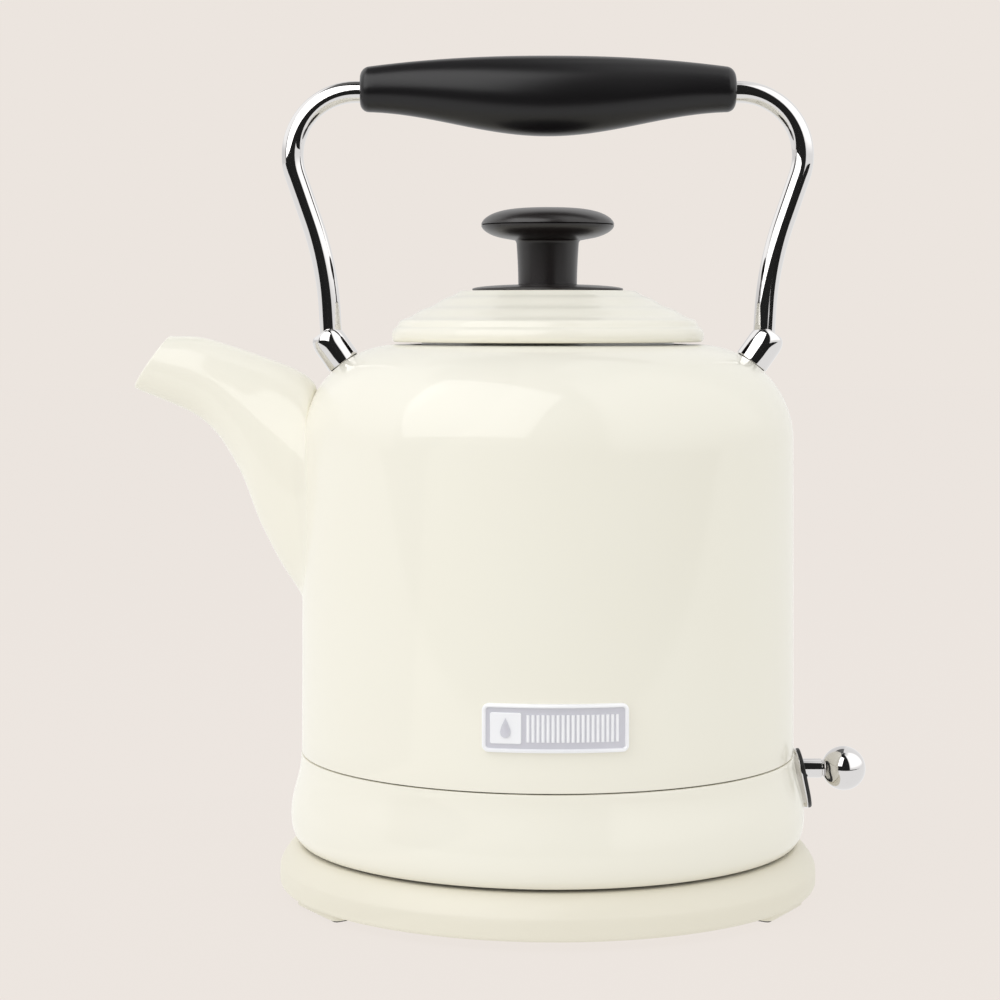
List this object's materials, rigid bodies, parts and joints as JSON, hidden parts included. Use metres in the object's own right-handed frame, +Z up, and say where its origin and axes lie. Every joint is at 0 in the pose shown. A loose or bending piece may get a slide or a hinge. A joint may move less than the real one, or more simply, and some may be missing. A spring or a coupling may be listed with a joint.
{
  "type": "electric kettle",
  "caption": "Round enamelled electric kettle on a corded power base, with a gooseneck spout, an arched handle with a turned grip, a lift-off knobbed lid and a side switch lever.",
  "frame": {"origin": "on the kettle's vertical turning axis, on the plane that the power base's feet stand on", "axes": "+Z up, -X along the spout, +X towards the switch lever, -Y towards the badge"},
  "size_m": [0.2531, 0.186, 0.2871],
  "materials": {
    "cream_enamel": "glossy stoved cream enamel over steel",
    "cream_plastic": "satin moulded cream plastic",
    "black_plastic": "satin near-black moulded plastic",
    "chrome_plate": "polished chrome plate",
    "stainless_steel": "brushed stainless steel",
    "aluminium_plate": "satin anodised aluminium",
    "brass_contacts": "bright machined brass",
    "black_rubber": "matt black rubber",
    "silicone_seal": "matt translucent-white silicone rubber",
    "white_plastic": "plain moulded white plastic"
  },
  "bodies": {
    "power_base": {"plate_cover": "cream_plastic", "plate_bottom": "cream_plastic", "rubber_feet": "black_rubber", "base_screws": "stainless_steel", "connector_post": "black_plastic", "contact_rings": "brass_contacts", "centre_pin": "brass_contacts", "terminal_block": "white_plastic", "cord_gland": "black_plastic"},
    "socket": {"control_socket": "black_plastic"},
    "kettle": {"body_shell": "cream_enamel", "spout": "cream_enamel", "base_band": "cream_enamel", "bottom_cover": "black_plastic", "bottom_screws": "stainless_steel", "element_plate": "stainless_steel", "diffuser_plate": "aluminium_plate", "heating_element": "stainless_steel", "control_unit": "white_plastic", "bimetal_discs": "brass_contacts", "steam_tube": "white_plastic", "lever_bracket": "stainless_steel", "lever_pin": "stainless_steel", "lever_bezel": "chrome_plate", "lever_slot_liner": "black_plastic", "badge_frame": "chrome_plate", "badge_panel": "aluminium_plate", "ferrule_left": "chrome_plate", "ferrule_right": "chrome_plate", "ferrule_gaskets": "black_rubber", "handle_screws": "stainless_steel", "handle_rod": "chrome_plate", "grip": "black_plastic"},
    "switch_lever": {"lever_rocker": "white_plastic", "lever_stem": "chrome_plate", "lever_ball": "chrome_plate"},
    "lid": {"lid_cover": "cream_enamel", "lid_liner": "stainless_steel", "lid_seal": "silicone_seal", "knob_flange": "black_plastic", "knob_stem": "black_plastic", "knob_cap": "black_plastic", "knob_screw": "stainless_steel"},
    "spout_filter": {"filter_frame": "black_plastic", "filter_mesh": "stainless_steel"}
  },
  "joints": [
    {"name": "kettle_lift", "type": "slide", "parent": "power_base", "child": "socket", "axis": [0, 0, 1], "range_m": [0, 0.12]},
    {"name": "kettle_turn", "type": "hinge", "parent": "socket", "child": "kettle", "pos_m": [0, 0, 0.03], "axis": [0, 0, 1], "continuous": true},
    {"name": "switch_press", "type": "hinge", "parent": "kettle", "child": "switch_lever", "pos_m": [0.064, 0, 0.041], "axis": [0, 1, 0], "range_deg": [0, 16]},
    {"name": "lid_lift", "type": "slide", "parent": "kettle", "child": "lid", "axis": [0, 0, 1], "range_m": [0, 0.022]},
    {"name": "filter_slide", "type": "slide", "parent": "kettle", "child": "spout_filter", "axis": [1, 0, 0], "range_m": [0, 0.015]}
  ]
}
